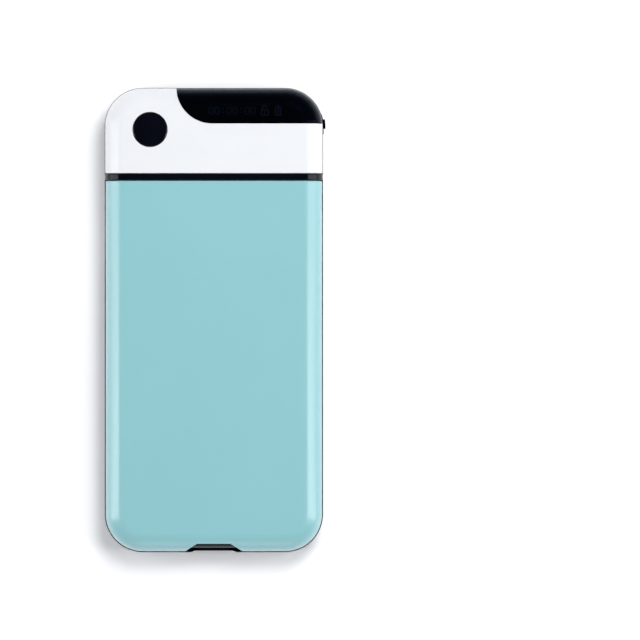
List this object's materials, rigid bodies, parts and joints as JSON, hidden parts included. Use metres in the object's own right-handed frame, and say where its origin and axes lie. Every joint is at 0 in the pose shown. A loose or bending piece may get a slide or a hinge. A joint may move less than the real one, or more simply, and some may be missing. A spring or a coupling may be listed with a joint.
{
  "type": "timed lock container",
  "caption": "Phone-sized lock case: hinged lid over a padded bay, locked by a motor-driven bolt plate under a head with timer window, round button and side key.",
  "frame": {"origin": "centre of the flat back, on the surface that the case lies on", "axes": "+Y towards the head with the window and button, +Z out of the front, +X to the right seen from the front"},
  "size_m": [0.0985, 0.207, 0.026],
  "materials": {
    "navy_abs": "moulded ABS, fine matt texture, dark navy",
    "teal_abs": "painted ABS, satin, pale teal",
    "white_abs": "gloss white ABS",
    "smoked_acrylic": "smoked acrylic, polished",
    "navy_gloss": "polished navy ABS",
    "grey_foam": "fine-cell EVA foam",
    "zinc_steel": "zinc-plated steel",
    "ground_steel": "ground steel",
    "nickel_steel": "nickel-plated steel",
    "black_rubber": "black silicone rubber",
    "display_glass": "display glass, unlit",
    "black_abs": "black ABS",
    "polyimide": "amber polyimide ribbon",
    "green_fr4": "green solder mask",
    "epoxy_black": "moulded epoxy",
    "pouch_foil": "laminated foil pouch",
    "cream_nylon": "natural nylon",
    "lead_insulation": "PVC insulation",
    "brass_plate": "machined brass",
    "cast_zinc": "die-cast zinc, satin"
  },
  "bodies": {
    "base": {"base_tray": "navy_abs", "floor_pad": "grey_foam", "case_screws": "zinc_steel", "screw_plugs": "black_rubber", "head_cover": "white_abs", "display_window": "smoked_acrylic", "oled_panel": "display_glass", "oled_carrier": "black_abs", "display_flex": "polyimide", "main_pcb": "green_fr4", "pcb_screws": "zinc_steel", "controller_chip": "epoxy_black", "buzzer": "epoxy_black", "main_switch": "epoxy_black", "side_switch": "epoxy_black", "usb_socket": "nickel_steel", "battery": "pouch_foil", "battery_tape": "grey_foam", "lead_sockets": "cream_nylon", "battery_leads": "lead_insulation", "motor_leads": "lead_insulation", "lid_sensor": "epoxy_black", "sensor_lead": "lead_insulation", "bolt_switch": "epoxy_black", "motor_gearbox": "brass_plate", "motor_can": "nickel_steel", "motor_bracket": "zinc_steel", "bracket_screws": "zinc_steel", "latch_guide_screws": "zinc_steel"},
    "lid": {"lid_shell": "teal_abs", "lid_pad": "grey_foam", "strike_plate": "zinc_steel", "strike_screws": "zinc_steel", "lid_magnet": "nickel_steel", "hinge_pin": "ground_steel"},
    "bolt": {"latch_plate": "cast_zinc"},
    "pinion": {"drive_pinion": "brass_plate", "motor_shaft": "ground_steel"},
    "button": {"main_button": "navy_gloss", "main_switch_plunger": "black_abs"},
    "key": {"side_key": "navy_gloss", "side_switch_plunger": "black_abs"}
  },
  "joints": [
    {"name": "lid_hinge", "type": "hinge", "parent": "base", "child": "lid", "pos_m": [0, -0.09885, 0.0208], "axis": [1, 0, 0], "range_deg": [0, 110]},
    {"name": "bolt_slide", "type": "slide", "parent": "base", "child": "bolt", "axis": [0, -1, 0], "range_m": [0, 0.0045]},
    {"name": "pinion_spin", "type": "hinge", "parent": "base", "child": "pinion", "pos_m": [0.0052, 0.074, 0.0147], "axis": [1, 0, 0], "range_deg": [0, 86]},
    {"name": "button_press", "type": "slide", "parent": "base", "child": "button", "axis": [0, 0, -1], "range_m": [0, 0.0006], "stiffness_N_per_m": 1000},
    {"name": "side_key_press", "type": "slide", "parent": "base", "child": "key", "axis": [-1, 0, 0], "range_m": [0, 0.0004], "stiffness_N_per_m": 1000}
  ],
  "couplings": [
    {"joint": "pinion_spin", "follows": "bolt_slide", "rad_per_m": 333.33}
  ]
}
